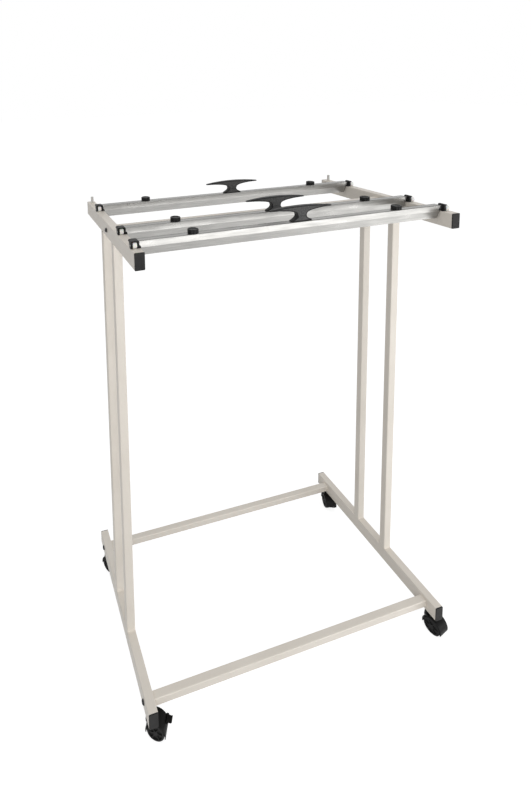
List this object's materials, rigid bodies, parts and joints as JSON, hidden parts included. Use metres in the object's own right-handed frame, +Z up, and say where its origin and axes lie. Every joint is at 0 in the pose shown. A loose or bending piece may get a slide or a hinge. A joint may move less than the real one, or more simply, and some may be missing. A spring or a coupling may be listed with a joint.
{
  "type": "plan hanging rack",
  "caption": "Mobile tube-frame rack with two level arms that carry sliding clamp bars for hanging large drawings, on swivel castors",
  "frame": {"origin": "on the floor, under the middle of the frame's plan", "axes": "+X to the right along the cross rails, +Y from front to rear along the arms, +Z up"},
  "size_m": [1.1288, 0.6455, 1.611],
  "materials": {
    "cream_paint": "satin powder coat on steel tube",
    "satin_aluminium": "satin anodised extrusion",
    "moulded_black": "moulded black nylon",
    "castor_black": "moulded black nylon",
    "castor_wheel_black": "hard moulded nylon",
    "black_cap": "moulded dark grey-black plastic",
    "white_nylon": "white nylon",
    "pale_nylon": "pale grey nylon",
    "black_steel": "black oxide",
    "zinc_steel": "bright zinc plate"
  },
  "bodies": {
    "frame": {"left_arm": "cream_paint", "right_arm": "cream_paint", "left_base_rail": "cream_paint", "right_base_rail": "cream_paint", "left_front_upright": "cream_paint", "left_rear_upright": "cream_paint", "right_front_upright": "cream_paint", "right_rear_upright": "cream_paint", "top_cross_bar": "cream_paint", "front_cross_rail": "cream_paint", "rear_cross_rail": "cream_paint", "cross_tube_inserts": "zinc_steel", "frame_bolts": "black_steel", "tube_end_caps": "black_cap", "rear_stop_pins": "pale_nylon", "castor_stems": "zinc_steel"},
    "front_left_castor": {"front_left_castor_hood": "castor_black", "front_left_castor_axle": "zinc_steel"},
    "front_left_wheelset": {"front_left_castor_wheels": "castor_wheel_black"},
    "front_right_castor": {"front_right_castor_hood": "castor_black", "front_right_castor_axle": "zinc_steel"},
    "front_right_wheelset": {"front_right_castor_wheels": "castor_wheel_black"},
    "rear_left_castor": {"rear_left_castor_hood": "castor_black", "rear_left_castor_axle": "zinc_steel"},
    "rear_left_wheelset": {"rear_left_castor_wheels": "castor_wheel_black"},
    "rear_right_castor": {"rear_right_castor_hood": "castor_black", "rear_right_castor_axle": "zinc_steel"},
    "rear_right_wheelset": {"rear_right_castor_wheels": "castor_wheel_black"},
    "front_left_brake": {"front_left_brake_lever": "castor_black"},
    "front_clamp": {"front_clamp_channel": "satin_aluminium", "front_handle": "moulded_black", "front_left_bracket": "moulded_black", "front_right_bracket": "moulded_black", "front_clamp_fixings": "zinc_steel"},
    "front_wedge": {"front_wedge_bar": "satin_aluminium"},
    "front_left_knob": {"front_left_knob": "moulded_black"},
    "front_left_roller": {"front_left_roller": "white_nylon"},
    "front_right_knob": {"front_right_knob": "moulded_black"},
    "front_right_roller": {"front_right_roller": "white_nylon"},
    "middle_clamp": {"middle_clamp_channel": "satin_aluminium", "middle_handle": "moulded_black", "middle_left_bracket": "moulded_black", "middle_right_bracket": "moulded_black", "middle_clamp_fixings": "zinc_steel"},
    "middle_wedge": {"middle_wedge_bar": "satin_aluminium"},
    "middle_left_knob": {"middle_left_knob": "moulded_black"},
    "middle_left_roller": {"middle_left_roller": "white_nylon"},
    "middle_right_knob": {"middle_right_knob": "moulded_black"},
    "middle_right_roller": {"middle_right_roller": "white_nylon"},
    "rear_clamp": {"rear_clamp_channel": "satin_aluminium", "rear_handle": "moulded_black", "rear_left_bracket": "moulded_black", "rear_right_bracket": "moulded_black", "rear_clamp_fixings": "zinc_steel"},
    "rear_wedge": {"rear_wedge_bar": "satin_aluminium"},
    "rear_left_knob": {"rear_left_knob": "moulded_black"},
    "rear_left_roller": {"rear_left_roller": "white_nylon"},
    "rear_right_knob": {"rear_right_knob": "moulded_black"},
    "rear_right_roller": {"rear_right_roller": "white_nylon"}
  },
  "joints": [
    {"name": "front_left_swivel", "type": "hinge", "parent": "frame", "child": "front_left_castor", "pos_m": [-0.535, -0.272, 0.0608], "axis": [0, 0, 1], "continuous": true},
    {"name": "front_left_roll", "type": "hinge", "parent": "front_left_castor", "child": "front_left_wheelset", "pos_m": [-0.51571, -0.28453, 0.0275], "axis": [0.5446, 0.8387, 0], "continuous": true},
    {"name": "front_right_swivel", "type": "hinge", "parent": "frame", "child": "front_right_castor", "pos_m": [0.535, -0.272, 0.0608], "axis": [0, 0, 1], "continuous": true},
    {"name": "front_right_roll", "type": "hinge", "parent": "front_right_castor", "child": "front_right_wheelset", "pos_m": [0.54017, -0.29441, 0.0275], "axis": [0.9744, 0.225, 0], "continuous": true},
    {"name": "rear_left_swivel", "type": "hinge", "parent": "frame", "child": "rear_left_castor", "pos_m": [-0.535, 0.272, 0.0608], "axis": [0, 0, 1], "continuous": true},
    {"name": "rear_left_roll", "type": "hinge", "parent": "rear_left_castor", "child": "rear_left_wheelset", "pos_m": [-0.52315, 0.25229, 0.0275], "axis": [0.8572, 0.515, 0], "continuous": true},
    {"name": "rear_right_swivel", "type": "hinge", "parent": "frame", "child": "rear_right_castor", "pos_m": [0.535, 0.272, 0.0608], "axis": [0, 0, 1], "continuous": true},
    {"name": "rear_right_roll", "type": "hinge", "parent": "rear_right_castor", "child": "rear_right_wheelset", "pos_m": [0.52828, 0.25, 0.0275], "axis": [0.9563, -0.2924, 0], "continuous": true},
    {"name": "front_left_brake_press", "type": "hinge", "parent": "front_left_castor", "child": "front_left_brake", "pos_m": [-0.48292, -0.29032, 0.0452], "axis": [0.5446, 0.8387, 0], "range_deg": [0, 18]},
    {"name": "front_clamp_slide", "type": "slide", "parent": "frame", "child": "front_clamp", "axis": [0, 1, 0], "range_m": [-0.03, 0.044]},
    {"name": "front_wedge_lift", "type": "slide", "parent": "front_clamp", "child": "front_wedge", "axis": [0, 0, 1], "range_m": [0, 0.006]},
    {"name": "front_left_knob_turn", "type": "hinge", "parent": "front_wedge", "child": "front_left_knob", "pos_m": [-0.355, -0.258, 1.565], "axis": [0, 0, 1], "range_deg": [0, 1728]},
    {"name": "front_left_roller_roll", "type": "hinge", "parent": "front_clamp", "child": "front_left_roller", "pos_m": [-0.5374, -0.276, 1.554], "axis": [1, 0, 0], "continuous": true},
    {"name": "front_right_knob_turn", "type": "hinge", "parent": "front_wedge", "child": "front_right_knob", "pos_m": [0.355, -0.258, 1.565], "axis": [0, 0, 1], "range_deg": [0, 1728]},
    {"name": "front_right_roller_roll", "type": "hinge", "parent": "front_clamp", "child": "front_right_roller", "pos_m": [0.5374, -0.276, 1.554], "axis": [1, 0, 0], "continuous": true},
    {"name": "middle_clamp_slide", "type": "slide", "parent": "frame", "child": "middle_clamp", "axis": [0, 1, 0], "range_m": [-0.044, 0.097]},
    {"name": "middle_wedge_lift", "type": "slide", "parent": "middle_clamp", "child": "middle_wedge", "axis": [0, 0, 1], "range_m": [0, 0.006]},
    {"name": "middle_left_knob_turn", "type": "hinge", "parent": "middle_wedge", "child": "middle_left_knob", "pos_m": [-0.355, -0.123, 1.565], "axis": [0, 0, 1], "range_deg": [0, 1728]},
    {"name": "middle_left_roller_roll", "type": "hinge", "parent": "middle_clamp", "child": "middle_left_roller", "pos_m": [-0.5374, -0.141, 1.554], "axis": [1, 0, 0], "continuous": true},
    {"name": "middle_right_knob_turn", "type": "hinge", "parent": "middle_wedge", "child": "middle_right_knob", "pos_m": [0.355, -0.123, 1.565], "axis": [0, 0, 1], "range_deg": [0, 1728]},
    {"name": "middle_right_roller_roll", "type": "hinge", "parent": "middle_clamp", "child": "middle_right_roller", "pos_m": [0.5374, -0.141, 1.554], "axis": [1, 0, 0], "continuous": true},
    {"name": "rear_clamp_slide", "type": "slide", "parent": "frame", "child": "rear_clamp", "axis": [0, 1, 0], "range_m": [-0.147, 0.1]},
    {"name": "rear_wedge_lift", "type": "slide", "parent": "rear_clamp", "child": "rear_wedge", "axis": [0, 0, 1], "range_m": [0, 0.006]},
    {"name": "rear_left_knob_turn", "type": "hinge", "parent": "rear_wedge", "child": "rear_left_knob", "pos_m": [-0.355, 0.173, 1.565], "axis": [0, 0, 1], "range_deg": [0, 1728]},
    {"name": "rear_left_roller_roll", "type": "hinge", "parent": "rear_clamp", "child": "rear_left_roller", "pos_m": [-0.5374, 0.155, 1.554], "axis": [1, 0, 0], "continuous": true},
    {"name": "rear_right_knob_turn", "type": "hinge", "parent": "rear_wedge", "child": "rear_right_knob", "pos_m": [0.355, 0.173, 1.565], "axis": [0, 0, 1], "range_deg": [0, 1728]},
    {"name": "rear_right_roller_roll", "type": "hinge", "parent": "rear_clamp", "child": "rear_right_roller", "pos_m": [0.5374, 0.155, 1.554], "axis": [1, 0, 0], "continuous": true}
  ],
  "couplings": [
    {"joint": "front_left_knob_turn", "follows": "front_wedge_lift", "rad_per_m": 5026.5},
    {"joint": "front_left_roller_roll", "follows": "front_clamp_slide", "rad_per_m": -114.29},
    {"joint": "front_right_knob_turn", "follows": "front_wedge_lift", "rad_per_m": 5026.5},
    {"joint": "front_right_roller_roll", "follows": "front_clamp_slide", "rad_per_m": -114.29},
    {"joint": "middle_left_knob_turn", "follows": "middle_wedge_lift", "rad_per_m": 5026.5},
    {"joint": "middle_left_roller_roll", "follows": "middle_clamp_slide", "rad_per_m": -114.29},
    {"joint": "middle_right_knob_turn", "follows": "middle_wedge_lift", "rad_per_m": 5026.5},
    {"joint": "middle_right_roller_roll", "follows": "middle_clamp_slide", "rad_per_m": -114.29},
    {"joint": "rear_left_knob_turn", "follows": "rear_wedge_lift", "rad_per_m": 5026.5},
    {"joint": "rear_left_roller_roll", "follows": "rear_clamp_slide", "rad_per_m": -114.29},
    {"joint": "rear_right_knob_turn", "follows": "rear_wedge_lift", "rad_per_m": 5026.5},
    {"joint": "rear_right_roller_roll", "follows": "rear_clamp_slide", "rad_per_m": -114.29}
  ]
}
